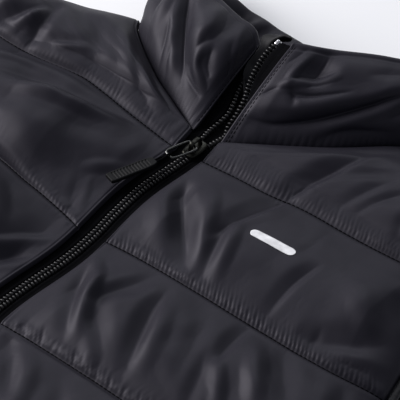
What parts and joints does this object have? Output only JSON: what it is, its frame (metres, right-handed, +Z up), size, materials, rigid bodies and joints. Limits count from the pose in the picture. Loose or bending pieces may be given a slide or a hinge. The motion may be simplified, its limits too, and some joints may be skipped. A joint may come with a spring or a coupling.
{
  "type": "quilted vest",
  "caption": "Padded sleeveless vest with a stand collar, laid flat on its back, its front zip closed up to the neck and open in the collar. The zip's pull turns on its slider.",
  "frame": {"origin": "centre of the underside's bounding box, on the surface that the vest lies on", "axes": "+Y from the hem to the collar, +X to the wearer's left, +Z up through the front of the vest"},
  "size_m": [0.5388, 0.7191, 0.0563],
  "materials": {
    "shell_fabric": "semi-gloss woven nylon",
    "lining_fabric": "satin woven nylon",
    "zip_tape": "matte woven tape",
    "elastic_binding": "matte ribbed elastic",
    "moulded_teeth": "semi-gloss",
    "dark_metal": "dark nickel",
    "moulded_tab": "matte"
  },
  "bodies": {
    "vest": {"back_panel": "shell_fabric", "front_left": "shell_fabric", "front_right": "shell_fabric", "collar": "shell_fabric", "wind_flap": "lining_fabric", "zip_tape_left": "zip_tape", "zip_tape_right": "zip_tape", "zip_teeth_left": "moulded_teeth", "zip_teeth_right": "moulded_teeth", "armhole_binding_left": "elastic_binding", "armhole_binding_right": "elastic_binding", "hem_binding": "elastic_binding", "zip_slider": "dark_metal", "zip_box": "moulded_teeth", "zip_stop_left": "dark_metal", "zip_stop_right": "dark_metal"},
    "pull": {"pull_loop": "dark_metal", "pull_tab": "moulded_tab"}
  },
  "joints": [
    {"name": "pull_turn", "type": "hinge", "parent": "vest", "child": "pull", "pos_m": [0.0022, 0.2139, 0.0298], "axis": [-0.9537, 0.3007, 0], "range_deg": [0, 140]}
  ]
}
